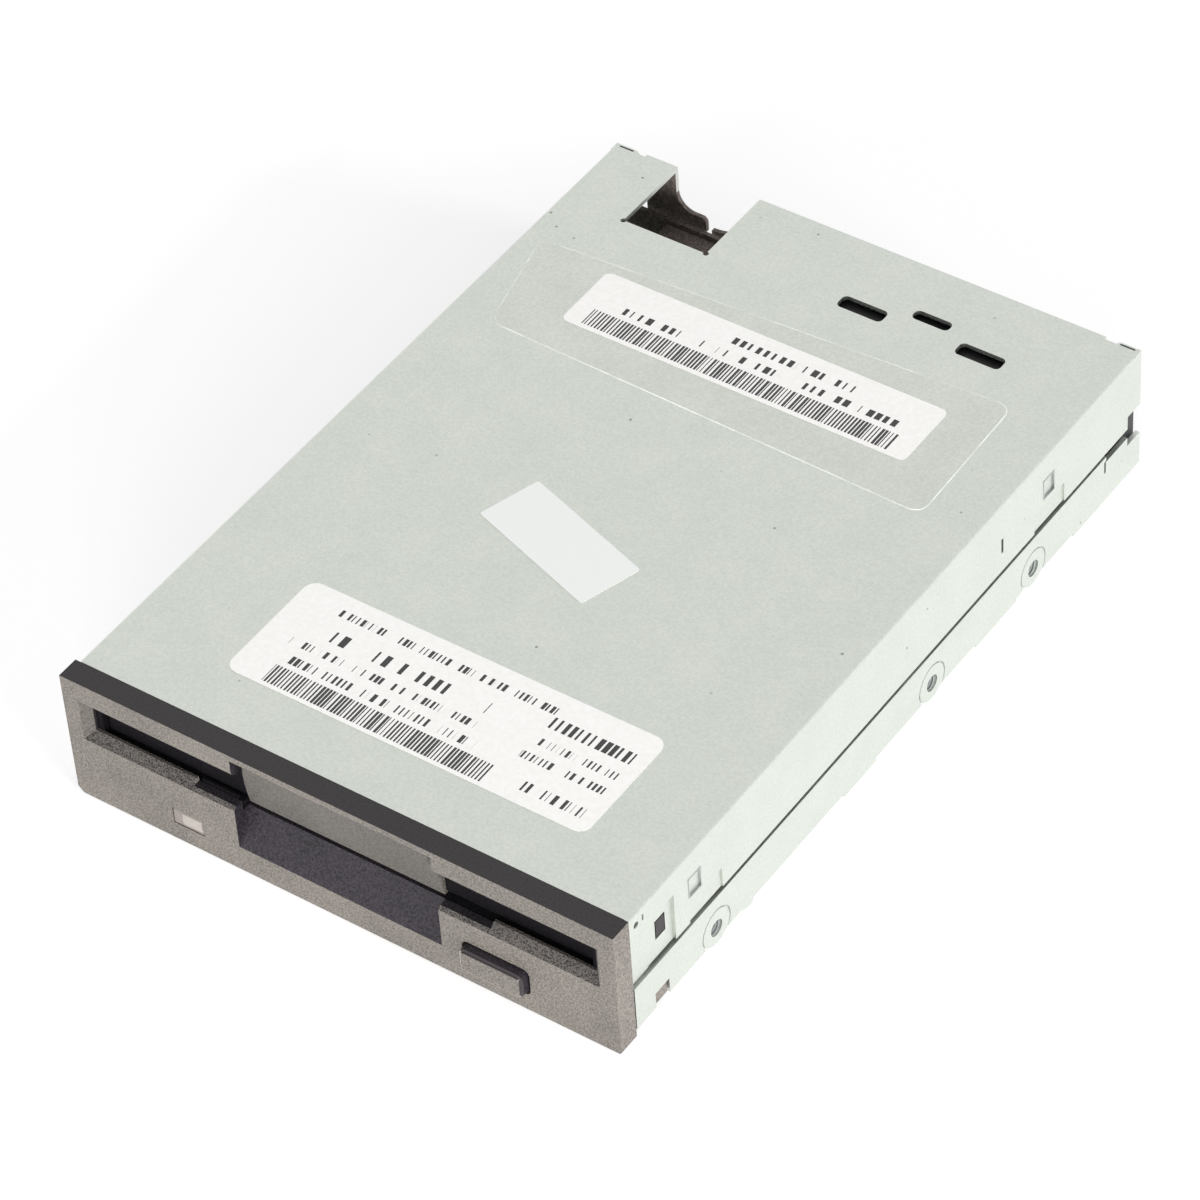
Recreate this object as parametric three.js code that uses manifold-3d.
// A floppy disk drive for 3.5-inch disks, as separate pieces in their resting places, with no disk inside.
// Lengths are millimetres. x runs to the right as seen from the front, y to the rear and z up.
// The sizes below count y from the bezel's front face; the whole drive is centred at the end.
import * as THREE from 'three';
import { mergeVertices } from 'three/addons/utils/BufferGeometryUtils.js';
import Module from 'manifold-3d';

const wasm = await Module();
wasm.setup();

// Shared sheet, gaps and cuts
const sheet = 0.8;
const seatGap = 0.3;
const fitGap = 0.12;
const overrun = 1;
const pressDepth = 0.3;

// Body
const bodyHalfWidth = 50.5;
const bodyFront = 4.3;
const bodyRear = 147.5;
const coverTop = 24.65;
const coverBend = 0.8;
const skirtBottom = 10.4;

// Bezel
const bezelOverhang = 0.3;
const bezelHeight = 25;
const bezelDepth = 4;
const bezelWall = 2;
const bezelRim = 1;
const slotEndWall = 4.4;
const slotBottom = 14.3;
const slotTop = 20.2;
const slotTopRound = 1.3;
const slotChamfer = 1.4;
const slotChamferDepth = 1.5;
const lipCutLeft = -27;
const lipCutRight = 28;
const lipCutDepth = 0.6;
const lipCutBottom = 13.4;
const fingerHalfWidth = 18.9;
const fingerBottom = 5.1;
const fingerTop = 11.4;
const fingerDepth = 3.4;
const fingerWall = 1.2;
const fingerBackDepth = 4.8;
const doorCutHalfWidth = 18.5;
const doorCutTop = 23.85;
const ledWindowLeft = -31.7;
const ledWindowRight = -25.7;
const ledWindowBottom = 3.45;
const ledWindowTop = 6.65;
const cornerChamfer = 1;
const cornerEase = 0.3;
const snapThickness = 0.8;
const snapInset = 1.6;
const hookGap = 0.24;
const upperSnapLow = 13.9;
const upperSnapHigh = 17.9;
const lowerSnapLow = 1.3;
const lowerSnapHigh = 3.8;

// Door flap
const doorInset = 5.5;
const doorFront = 3.2;
const doorThickness = 1.2;
const doorBottom = 13.8;
const doorTop = 22.4;
const doorAxisY = 4.2;
const doorAxisZ = 21.6;
const doorPinRadius = 0.8;
const doorPinLength = 1.9;
const doorLugWidth = 2;
const doorLugReach = 1.9;
const bulgeFront = 0.5;
const bulgeTop = 23.5;
const bulgeFootFront = 2.9;
const bulgeBottom = 12.9;
const bulgeRound = 2.7;
const doorSpringRadius = 0.9;
const doorSpringRise = 0.3;
const doorSpringLength = 7;
const doorSpringInset = 7;
const doorSpringWire = 0.5;

// Button
const buttonCentreX = 28.8;
const buttonCentreZ = 5.95;
const buttonWidth = 11.5;
const buttonHeight = 4.7;
const buttonRound = 1.2;
const buttonProud = 1.6;
const buttonBodyDepth = 5;
const buttonEdge = 0.35;
const buttonHoleGap = 0.35;
const stemWidth = 7;
const stemHeight = 3;

// LED
const ledHalfWidth = 1.5;
const ledFrontY = 2.9;
const ledBodyDepth = 4;
const ledHeight = 2.6;
const ledLegReach = 5.3;
const ledLegThickness = 0.5;
const ledLegHalfWidth = 0.9;
const lensDepth = 2.5;

// Chassis
const chassisFront = 4.6;
const chassisRearReach = 1;
const deckTop = 9.6;
const deckFront = 10;
const deckRearInset = 9.5;
const wallFoot = 1;
const footDrop = 0.75;
const firstFootY = 65;
const firstFootLength = 9;
const secondFootY = 104.5;
const secondFootLength = 12;
const rearFootLength = 20.5;
const lobeRadius = 3.3;
const holeFirstY = 25.65;
const holeSecondStep = 60;
const holeThirdStep = 30;
const holeZ = 3.3;
const mountHoleRadius = 1.5;
const ringRadius = 3.8;
const ringWidth = 0.3;
const collarRadius = 2.5;
const collarLength = 1.2;
const bottomBossInset = 2.9;
const bottomBossFirstY = 34.5;
const bottomBossStep = 70;
const bottomBossRadius = 2.9;
const bottomBossHole = 1.25;
const bottomTabZ = 1;
const bottomTabWidth = 9;
const bottomTabReach = 6;
const spindleY = 59;
const spindleOpening = 21;
const headOpeningLeft = -17;
const headOpeningRight = 24;
const headOpeningFront = 79.8;
const headOpeningRear = 125.4;
const reliefInset = 0.6;
const reliefWidth = 0.5;
const reliefFoot = 6.3;
const rearWallTop = 8.5;
const cornerWallTop = 6.8;
const cornerNotchInset = 3.9;
const rearStripInset = 2.5;
const rearStripEndInset = 1.1;
const rearStripTop = 14.2;
const rearStripBottom = 10.9;
const rearStripRight = -4;
const rearTongueWidth = 16;
const powerStripGap = 1;
const snapWindowLow = 0.4;
const snapWindowHigh = 4;
const lowerSnapY = 9.6;
const lowerSnapWindow = 3.6;

// Cover
const notchInset = 12.5;
const notchWidth = 16.3;
const notchLength = 15.4;
const notchRelief = 0.5;
const flangeStandoff = 0.6;
const flangeEndInset = 6.3;
const flangeBottom = 12.85;
const flangeFootWidth = 11.9;
const flangeFootTop = 16.3;
const flangeFillet = 3.4;
const flangeRound = 1;
const middleFlangeFootTop = 14.4;
const middleFlangeCurve = 9.5;
const middleFlangeEndInset = 6.2;
const middleFlangeBottom = 14.4;
const returnEndInset = 4.9;
const returnReach = 0.4;
const returnTop = 24.3;
const returnRound = 1.6;
const returnBottom = 13;
const squareFirstY = 19.2;
const squareSecondY = 118.6;
const squareWidth = 3.3;
const squareHeight = 4;
const squareBottom = 15.6;
const stripHeight = 14.4;
const stripFirstLength = 8.6;
const stripSecondLength = 9;
const stripSecondY = 116;
const recessRear = 15.5;
const recessTop = 19.9;
const recessDepth = 0.5;
const snapHoleY = 11.1;
const snapHoleLength = 2.6;
const snapHoleBottom = 14;
const snapHoleTop = 17.8;
const skirtHoleY = 6.1;
const skirtHoleZ = 22.2;
const skirtHoleRadius = 0.6;
const skirtCutReach = 2.4;
const frontSlitY = 7.6;
const frontSlitWidth = 0.4;
const frontSlitBottom = 21.7;
const frontSlitTop = 22.9;
const skirtSlitY = 106.1;
const skirtSlitBottom = 14.2;
const skirtSlitTop = 17.2;
const skirtSlitWidth = 0.6;
const topSlotRound = 0.9;
const outerSlotInset = 15.2;
const outerSlotLength = 2.9;
const firstSlotLeft = 3.2;
const firstSlotRight = 11.7;
const middleSlotLeft = 15.1;
const middleSlotRight = 22;
const middleSlotInset = 11.5;
const middleSlotLength = 2.2;
const lastSlotLeft = 25.4;
const lastSlotRight = 33.8;

// Labels
const labelThickness = 0.1;
const labelRound = 1.8;
const rearLabelX = -0.2;
const rearLabelY = 113.3;
const rearLabelWidth = 65.2;
const rearLabelDepth = 13.5;
const middleLabelX = -3.1;
const middleLabelY = 63.8;
const middleLabelWidth = 26.2;
const middleLabelDepth = 11.4;
const middleLabelRound = 0.3;
const middleLabelDegrees = -18.3;
const frontLabelX = 2.4;
const frontLabelY = 25.9;
const frontLabelWidth = 66.2;
const frontLabelDepth = 22.2;

// Disk cage
const cageInset = 4.1;
const cageFront = 8;
const cagePlateFront = 13.4;
const cageRear = 100;
const cageLipTop = 14;
const cageClearHeight = 4.4;
const cageLipWidth = 3;
const cageLeftRear = 104.5;
const cageHeadHalfWidth = 11;
const cageHeadFront = 76;
const lifterRight = 17;
const lifterRear = 111;
const cagePinRadius = 0.8;
const cagePinInset = 1.3;
const cagePinZ = 16;
const cageDrop = 2.4;
const guideFirstY = 22;
const guideSecondY = 82;
const diskStopInset = 16.4;
const diskStopWidth = 9;

// Chassis guides of the cage
const guideInset = 2.2;
const guideHalfWidth = 3.5;
const guideTop = 19;
const guideSlotGap = 0.25;

// Slide plate
const slideSheet = 0.6;
const slideWallInset = 3.6;
const slideFront = 12;
const slideBarRear = 28;
const slideRear = 92;
const slideArmWidth = 6.9;
const slideWallTop = 17.8;
const slideTravel = 5;
const slideTabReach = 3.2;
const slideTabClearance = 2.4;
const slideTabLeft = 25.3;
const slideTabWidth = 7;
const slideTabFoot = 3.8;
const springTabInset = 2.9;
const springTabY = 62;
const springTabLength = 3;
const springTabFoot = 4.6;

// Eject springs
const springInset = 4.9;
const springZ = 6.4;
const springFront = 34;
const springRear = 62.5;
const springMeanRadius = 1.4;
const springWireRadius = 0.25;
const springCurls = 14;
const springAnchorThickness = 0.8;
const springAnchorWidth = 4;

// Shutter lever
const leverPivotInset = 8.4;
const leverPivotY = 96;
const leverLength = 24;
const leverRestAngle = -60;
const leverSwing = 68;
const leverThickness = 0.8;
const leverHubRadius = 3.2;
const leverWidth = 3.4;
const fingerRadius = 1.1;
const fingerFoot = 14.6;
const postRadius = 1.5;
const postHeight = 3.2;
const postGap = 0.24;
const leverSpringHeight = 1;
const leverSpringOutside = 2.8;

// Sensor board and switches
const sensorBoardInset = 5.5;
const sensorBoardWidth = 21;
const sensorBoardFront = 8;
const sensorBoardRear = 21;
const sensorBoardBottom = 5.6;
const sensorBoardThickness = 1;
const switchY = 13.5;
const switchHalfWidth = 1.8;
const switchHalfDepth = 2.4;
const switchTop = 11.3;
const writeSwitchInset = 10;
const diskSwitchInset = 17;
const densitySwitchInset = 10;
const plungerRadius = 0.9;
const plungerBottom = 9.3;
const plungerTop = 13.2;
const plungerTravel = 1.2;

// Screws and the bosses that they enter
const screwRadius = 1;
const screwHeadRadius = 2;
const screwHeadHeight = 1.1;
const screwLength = 4;
const screwRecess = 0.5;
const screwSlotWidth = 4.4;
const bossRadius = 2.4;
const mainScrewInset = 7.5;
const mainScrewFrontY = 97;
const mainScrewRearInset = 10.5;
const mainScrewRearSetback = 14;
const motorScrewX = 30;
const motorScrewFrontY = 34;
const motorScrewRearX = 28;
const motorScrewRearY = 83;
const sensorScrewInset = 3;
const sensorScrewY = 17.5;

// Motor board and spindle motor
const motorBoardBottom = 2.4;
const motorBoardThickness = 1.2;
const motorBoardLeft = -36;
const motorBoardRight = 38;
const motorBoardFront = 25;
const motorBoardRear = 88;
const motorBoardCorner = 9;
const motorBoardRelief = 24;
const sleeveOutside = 4;
const shaftRadius = 2;
const sleeveTop = 9.6;
const shaftFoot = 4;
const shaftTop = 14;
const rotorRadius = 19.5;
const rotorWall = 1;
const rotorTop = 11;
const rotorRoof = 0.8;
const rotorFoot = 4.6;
const magnetThickness = 1.5;
const magnetFoot = 5;
const magnetTop = 9.8;
const statorOutside = 16.2;
const statorInside = 4.3;
const statorYoke = 7;
const statorBottom = 6;
const statorTop = 7.4;
const statorArms = 9;
const statorArmWidth = 1.8;
const statorShoeInside = 15.2;
const statorShoeDegrees = 30;
const coilInside = 8.2;
const coilOutside = 14.6;
const coilWidth = 3.2;
const coilOver = 1;
const coilRingHeight = 0.5;
const hubRadius = 12.5;
const hubThickness = 1.4;
const drivePinRadius = 1;
const drivePinOffset = 8;
const drivePinHeight = 1;

// Head carriage
const headY = 98.5;
const headTravel = 14.8;
const carriageFrontOffset = 2;
const carriageRearOffset = 22;
const carriageLeft = -14.5;
const carriageRight = 21.5;
const carriageBottom = 5.5;
const carriageTop = 11.5;
const tongueHalfWidth = 5;
const tongueFrontOffset = 4;
const tongueRearOffset = 12;
const tongueTop = 13;
const headPadHalf = 1.8;
const headPadHeight = 0.5;
const rodZ = 8.5;
const mainRodX = -10;
const mainRodRadius = 1.5;
const subRodX = 18.5;
const subRodRadius = 1;
const screwX = 13.5;
const leadScrewRadius = 1.4;
const leadScrewPitch = 3;
const runGap = 0.3;
const rodTabY = 79.4;
const rodTabHalfWidth = 2.6;
const rodTabFoot = 5.6;
const armAxisOffset = 20;
const armAxisZ = 15.5;
const armHalfWidth = 7.5;
const armThickness = 2;
const armPinRadius = 0.8;
const armEarThickness = 2;
const armEarHalfDepth = 2.2;
const armLiftDegrees = 12;
const armTabOffset = 8;
const armTabDepth = 3;
const armTabRight = 16;
const armTabBottom = 17.3;
const armTabThickness = 0.8;
const upperPadGap = 0.3;

// Stepper motor
const stepperRadius = 7.5;
const stepperLength = 13.8;
const bracketY = 124;
const bracketLeft = -22;
const bracketRight = 30;
const bracketTop = 16.6;
const bracketShoulder = 13;
const bracketFoot = 5.2;
const bracketInnerLeft = -14;
const bracketInnerRight = 22;
const bracketFootDepth = 6;
const bracketFootWidth = 4.6;
const bracketWindowHalf = 5;
const bracketWindowTop = 8;

// Main board
const mainBoardInset = 2.3;
const mainBoardFront = 92;
const mainBoardRearInset = 0.5;
const mainBoardBottom = 2.4;
const mainBoardThickness = 1.6;
const stepperCutLeft = 4.6;
const stepperCutRight = 22.4;
const stepperCutFront = 123.2;
const stepperCutRear = 139.2;
const chipX = 27;
const chipY = 112;
const chipHalf = 7;
const chipThickness = 1.3;
const chipLegReach = 1;
const chipLegWidth = 0.5;
const chipLegPitch = 1.9;
const chipLegCount = 7;
const chipLegThickness = 0.3;
const trackSensorInset = 16.5;
const trackSensorY = 118;
const trackSensorHalf = 3;
const trackSensorHeight = 4.4;
const trackSensorGap = 2;

// Connectors
const dataLeft = -2;
const dataInset = 1.2;
const dataDepth = 8.6;
const dataRearReach = 1.1;
const dataTop = 12.9;
const dataWall = 1.1;
const dataBack = 1.4;
const pinPitch = 2.54;
const pinColumns = 17;
const pinHalf = 0.32;
const pinEndGap = 1;
const pinBarThickness = 0.5;
const keyHalfWidth = 2.3;
const powerInset = 2;
const powerWidth = 12;
const powerTop = 10.5;
const powerWall = 1;
const powerPinCount = 4;
const powerPinPitch = 2.5;
const flexHalfWidth = 4;
const flexThickness = 0.25;
const flexDrop = 1.8;
const flexPlugDepth = 3;

// Places that follow the body's width and length
const bezelHalfWidth = bodyHalfWidth + bezelOverhang;
const slotHalfWidth = bezelHalfWidth - slotEndWall;
const snapOutside = bodyHalfWidth - snapInset;
const doorHalfWidth = bodyHalfWidth - doorInset;
const doorSpringCentre = doorHalfWidth - doorSpringInset;
const chassisRear = bodyRear + chassisRearReach;
const deckRear = bodyRear - deckRearInset;
const rearFootFront = chassisRear - rearFootLength;
const bottomBossX = bodyHalfWidth - bottomBossInset;
const reliefY = deckRear - reliefInset;
const cornerNotchY = chassisRear - cornerNotchInset;
const rearStripY = chassisRear - rearStripInset;
const rearStripLeft = -bodyHalfWidth + rearStripEndInset;
const notchFront = bodyRear - notchLength;
const flangeOutside = bodyRear + flangeStandoff;
const flangeLeft = -bodyHalfWidth + flangeEndInset;
const middleFlangeRight = bodyHalfWidth - middleFlangeEndInset;
const returnInside = bodyHalfWidth - returnEndInset;
const returnOutside = flangeOutside + returnReach;
const outerSlotFront = bodyRear - outerSlotInset;
const outerSlotRear = outerSlotFront + outerSlotLength;
const middleSlotFront = bodyRear - middleSlotInset;
const middleSlotRear = middleSlotFront + middleSlotLength;
const cageHalfWidth = bodyHalfWidth - cageInset;
const cageClearHalfWidth = cageHalfWidth - sheet;
const cagePinEnd = bodyHalfWidth - cagePinInset;
const guideInside = bodyHalfWidth - guideInset;
const slideWallInside = bodyHalfWidth - slideWallInset;
const slideArmInside = slideWallInside - slideArmWidth;
const springTabX = slideWallInside - springTabInset;
const springX = slideWallInside - springInset;
const leverPivotX = -cageHalfWidth + leverPivotInset;
const sensorBoardLeft = -bodyHalfWidth + sensorBoardInset;
const writeSwitchX = -bodyHalfWidth + writeSwitchInset;
const diskSwitchX = -bodyHalfWidth + diskSwitchInset;
const densitySwitchX = bodyHalfWidth - densitySwitchInset;
const mainScrewX = bodyHalfWidth - mainScrewInset;
const mainScrewRearX = bodyHalfWidth - mainScrewRearInset;
const mainBoardHalfWidth = bodyHalfWidth - mainBoardInset;
const mainBoardRear = bodyRear - mainBoardRearInset;
const mainScrewRearY = mainBoardRear - mainScrewRearSetback;
const dataRight = bodyHalfWidth - dataInset;
const dataRear = bodyRear + dataRearReach;
const dataFront = dataRear - dataDepth;
const notchLeft = -bodyHalfWidth + notchInset;
const notchRight = notchLeft + notchWidth;
const flangeFootRight = flangeLeft + flangeFootWidth;
const powerLeft = notchLeft + powerInset;
const powerRight = powerLeft + powerWidth;
const sensorBoardRight = sensorBoardLeft + sensorBoardWidth;
const sensorScrewX = -sensorBoardRight + sensorScrewInset;
const trackSensorX = -bodyHalfWidth + trackSensorInset;
const diskStopLeft = cageHalfWidth - diskStopInset;

// Corners and round stretches are drawn with this many steps in a quarter turn
const roundSteps = 3;
const flangeSteps = 6;
const noseSteps = 9;
const triangleCorners = 3;
const fullRound = 16;
const wideRound = 40;
const smallRound = 10;
const quarterTurn = Math.PI / 2;
const radians = Math.PI / 180;

// Materials
function finish(color, roughness, metalness) {
  return new THREE.MeshStandardMaterial({ color, roughness, metalness });
}
const zincSheet = finish(0xb9c0b8, 0.45, 0.8);
const brightSteel = finish(0xc9cbcc, 0.3, 0.9);
const darkAbs = finish(0x5c585a, 0.7, 0);
const lensPlastic = finish(0xd9cfc9, 0.4, 0);
const whiteLabel = finish(0xf2f2ee, 0.6, 0);
const silverLabel = finish(0xd3d8d4, 0.4, 0.2);
const blackPlastic = finish(0x1b1b1d, 0.6, 0);
const creamPlastic = finish(0xe8e2cf, 0.6, 0);
const goldPlate = finish(0xd0a64b, 0.3, 0.9);
const greenBoard = finish(0x2f6b45, 0.5, 0);
const brownBoard = finish(0x6e5232, 0.5, 0);
const copperWire = finish(0xb4622d, 0.4, 0.7);
const magnetBlack = finish(0x33312f, 0.8, 0.1);
const carriagePlastic = finish(0x2b2d31, 0.6, 0);
const ceramic = finish(0xdedad0, 0.3, 0);
const flexFilm = finish(0xa86a2c, 0.4, 0);
const springSteel = finish(0x9fa2a4, 0.3, 0.9);

// Turns a closed geometry into a solid for joins and cuts
function solid(geometry) {
  const bare = new THREE.BufferGeometry();
  bare.setAttribute('position', geometry.getAttribute('position'));
  if (geometry.index) bare.setIndex(geometry.index);
  const merged = mergeVertices(bare);
  return new wasm.Manifold(new wasm.Mesh({
    numProp: 3,
    vertProperties: new Float32Array(merged.getAttribute('position').array),
    triVerts: new Uint32Array(merged.index.array),
  }));
}

function join(pieces) {
  return pieces.reduce((whole, piece) => whole.add(piece));
}

function cut(body, tools) {
  return tools.reduce((whole, tool) => whole.subtract(tool), body);
}

// A block between two corners
function block(x0, x1, y0, y1, z0, z1) {
  const geometry = new THREE.BoxGeometry(x1 - x0, y1 - y0, z1 - z0);
  geometry.translate((x0 + x1) / 2, (y0 + y1) / 2, (z0 + z1) / 2);
  return solid(geometry);
}

// Outlines lie in the plane across the axis: (x, y) for z, (x, z) for y and (y, z) for x
const outlineFrames = {
  x: new THREE.Matrix4().makeBasis(
    new THREE.Vector3(0, 1, 0), new THREE.Vector3(0, 0, 1), new THREE.Vector3(1, 0, 0)),
  y: new THREE.Matrix4().makeBasis(
    new THREE.Vector3(1, 0, 0), new THREE.Vector3(0, 0, 1), new THREE.Vector3(0, -1, 0)),
  z: new THREE.Matrix4(),
};

function extrude(outline, axis, from, to, steps = roundSteps) {
  const geometry = new THREE.ExtrudeGeometry(outline, {
    depth: to - from,
    bevelEnabled: false,
    curveSegments: steps,
  });
  geometry.translate(0, 0, axis === 'y' ? -to : from);
  geometry.applyMatrix4(outlineFrames[axis]);
  return solid(geometry);
}

function polygon(points) {
  return new THREE.Shape(points.map(([across, up]) => new THREE.Vector2(across, up)));
}

function roundedRectangle(left, right, low, high, radius) {
  const shape = new THREE.Shape();
  shape.moveTo(left + radius, low);
  shape.lineTo(right - radius, low);
  shape.absarc(right - radius, low + radius, radius, -quarterTurn, 0, false);
  shape.lineTo(right, high - radius);
  shape.absarc(right - radius, high - radius, radius, 0, quarterTurn, false);
  shape.lineTo(left + radius, high);
  shape.absarc(left + radius, high - radius, radius, quarterTurn, Math.PI, false);
  shape.lineTo(left, low + radius);
  shape.absarc(left + radius, low + radius, radius, Math.PI, Math.PI + quarterTurn, false);
  return shape;
}

// A round bar along an axis, its centre given across that axis
function bar(axis, across, up, radius, from, to, sides = fullRound) {
  const points = Array.from({ length: sides }, (_, step) => {
    const angle = (2 * Math.PI * step) / sides;
    return [across + radius * Math.cos(angle), up + radius * Math.sin(angle)];
  });
  return extrude(polygon(points), axis, from, to);
}

function tube(axis, across, up, outside, inside, from, to, sides = fullRound) {
  return bar(axis, across, up, outside, from, to, sides)
    .subtract(bar(axis, across, up, inside, from - overrun, to + overrun, sides));
}

function mirrorX(body) {
  return body.mirror([1, 0, 0]);
}

function bothSides(body) {
  return body.add(mirrorX(body));
}

const drive = new THREE.Group();

function piece(name, body, material, parent = drive) {
  const result = body.getMesh();
  const geometry = new THREE.BufferGeometry();
  const corners = new Float32Array(result.triVerts.length * triangleCorners);
  result.triVerts.forEach((vertex, place) => {
    for (let part = 0; part < triangleCorners; part += 1) {
      corners[place * triangleCorners + part] = result.vertProperties[vertex * result.numProp + part];
    }
  });
  geometry.setAttribute('position', new THREE.BufferAttribute(corners, 3));
  geometry.computeVertexNormals();
  const mesh = new THREE.Mesh(geometry, material);
  mesh.name = name;
  parent.add(mesh);
  return mesh;
}

// Front bezel: one moulding with the disk slot, finger recess, snap arms and the flap's pivot lugs
function frontBezel() {
  const shell = block(-bezelHalfWidth, bezelHalfWidth, 0, bezelDepth, 0, bezelHeight).subtract(block(
    -bezelHalfWidth + bezelRim, bezelHalfWidth - bezelRim,
    bezelWall, bezelDepth + overrun, bezelRim, bezelHeight - bezelRim));
  const recessBack = block(
    -fingerHalfWidth - fingerWall, fingerHalfWidth + fingerWall,
    0, fingerBackDepth, fingerBottom - fingerWall, fingerTop);
  const slotFrame = new THREE.Shape();
  slotFrame.moveTo(-overrun, slotBottom - slotChamfer);
  slotFrame.lineTo(0, slotBottom - slotChamfer);
  slotFrame.lineTo(slotChamferDepth, slotBottom);
  slotFrame.lineTo(bezelDepth + overrun, slotBottom);
  slotFrame.lineTo(bezelDepth + overrun, slotTop);
  slotFrame.lineTo(slotTopRound, slotTop);
  slotFrame.absarc(slotTopRound, slotTop + slotTopRound, slotTopRound, -quarterTurn, -Math.PI, true);
  slotFrame.lineTo(-overrun, slotTop + slotTopRound);
  const slotPlan = polygon([
    [-slotHalfWidth - slotChamfer, -overrun],
    [slotHalfWidth + slotChamfer, -overrun],
    [slotHalfWidth + slotChamfer, 0],
    [slotHalfWidth, slotChamferDepth],
    [slotHalfWidth, bezelDepth + overrun],
    [-slotHalfWidth, bezelDepth + overrun],
    [-slotHalfWidth, slotChamferDepth],
    [-slotHalfWidth - slotChamfer, 0],
  ]);
  const slot = extrude(slotFrame, 'x', -bezelHalfWidth, bezelHalfWidth)
    .intersect(extrude(slotPlan, 'z', 0, bezelHeight));
  const lipCut = block(lipCutLeft, lipCutRight, lipCutDepth, bezelDepth + overrun, lipCutBottom, slotTop);
  const finger = extrude(polygon([
    [-overrun, fingerBottom],
    [0, fingerBottom],
    [fingerDepth, fingerTop],
    [fingerDepth, slotTop],
    [-overrun, slotTop],
  ]), 'x', -fingerHalfWidth, fingerHalfWidth);
  const doorCut = block(
    -doorCutHalfWidth, doorCutHalfWidth, -overrun, bezelDepth + overrun, slotBottom, doorCutTop);
  const buttonHole = extrude(roundedRectangle(
    buttonCentreX - buttonWidth / 2 - buttonHoleGap, buttonCentreX + buttonWidth / 2 + buttonHoleGap,
    buttonCentreZ - buttonHeight / 2 - buttonHoleGap, buttonCentreZ + buttonHeight / 2 + buttonHoleGap,
    buttonRound), 'y', -overrun, bezelDepth);
  const ledWindow = block(
    ledWindowLeft, ledWindowRight, -overrun, bezelDepth, ledWindowBottom, ledWindowTop);
  const corner = (size) => extrude(polygon([
    [-bezelHalfWidth - overrun, -overrun],
    [-bezelHalfWidth + size + overrun, -overrun],
    [-bezelHalfWidth - overrun, size + overrun],
  ]), 'y', -overrun, bezelDepth + overrun);
  const lug = block(
    doorHalfWidth + seatGap, doorHalfWidth + seatGap + doorLugWidth, bezelWall,
    doorAxisY + doorLugReach, doorAxisZ - doorLugReach, doorAxisZ + doorLugReach)
    .subtract(bar('x', doorAxisY, doorAxisZ, doorPinRadius + runGap, 0, bezelHalfWidth));
  const upperArm = block(
    snapOutside - snapThickness, snapOutside, bezelWall, snapHoleY + snapHoleLength,
    upperSnapLow, upperSnapHigh);
  const upperHook = block(
    snapOutside - snapThickness, bodyHalfWidth - recessDepth, snapHoleY + hookGap,
    snapHoleY + snapHoleLength - hookGap, snapHoleBottom + seatGap, snapHoleTop - seatGap);
  const lowerArm = block(
    snapOutside - snapThickness, snapOutside, bezelWall, lowerSnapY + lowerSnapWindow,
    lowerSnapLow, lowerSnapHigh);
  const lowerHook = block(
    snapOutside - snapThickness, bodyHalfWidth - seatGap, lowerSnapY + seatGap,
    lowerSnapY + lowerSnapWindow - seatGap, lowerSnapLow, lowerSnapHigh);
  const body = cut(join([shell, recessBack]), [
    slot, lipCut, finger, doorCut, buttonHole, ledWindow,
    corner(cornerChamfer), mirrorX(corner(cornerEase))]);
  return join([body, bothSides(join([lug, upperArm, upperHook, lowerArm, lowerHook]))]);
}

// Door flap: a black plate behind the slot with pivot pins at its ends
function doorFlap() {
  const plate = block(
    -doorHalfWidth, doorHalfWidth, doorFront, doorFront + doorThickness, doorBottom, doorTop);
  const pins = bar('x', doorAxisY, doorAxisZ, doorPinRadius,
    -doorHalfWidth - doorPinLength, doorHalfWidth + doorPinLength);
  const barrel = extrude(roundedRectangle(
    doorFront, doorFront + doorThickness + doorPinRadius,
    doorAxisZ - doorPinRadius, doorTop, doorPinRadius / 2), 'x', -doorHalfWidth, doorHalfWidth);
  return join([plate, pins, barrel]);
}

// Door bulge: the bezel-coloured cover on the flap's middle, its foot hooked under the plate
function doorBulge() {
  const bulgeSide = polygon([
    [bulgeFront, bulgeTop],
    [bulgeFootFront, bulgeBottom],
    [doorFront + doorThickness, bulgeBottom],
    [doorFront + doorThickness, doorBottom - fitGap],
    [doorFront, doorBottom - fitGap],
    [doorFront, bulgeTop],
  ]);
  const bulgeHalf = doorCutHalfWidth - seatGap;
  const bulgePlan = new THREE.Shape();
  bulgePlan.moveTo(-bulgeHalf, doorFront + doorThickness);
  bulgePlan.lineTo(-bulgeHalf, bulgeFront + bulgeRound);
  bulgePlan.absarc(-bulgeHalf + bulgeRound, bulgeFront + bulgeRound, bulgeRound,
    Math.PI, Math.PI + quarterTurn, false);
  bulgePlan.lineTo(bulgeHalf - bulgeRound, bulgeFront);
  bulgePlan.absarc(bulgeHalf - bulgeRound, bulgeFront + bulgeRound, bulgeRound, -quarterTurn, 0, false);
  bulgePlan.lineTo(bulgeHalf, doorFront + doorThickness);
  return extrude(bulgeSide, 'x', -bulgeHalf, bulgeHalf)
    .intersect(extrude(bulgePlan, 'z', bulgeBottom - overrun, bulgeTop + overrun));
}

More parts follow.
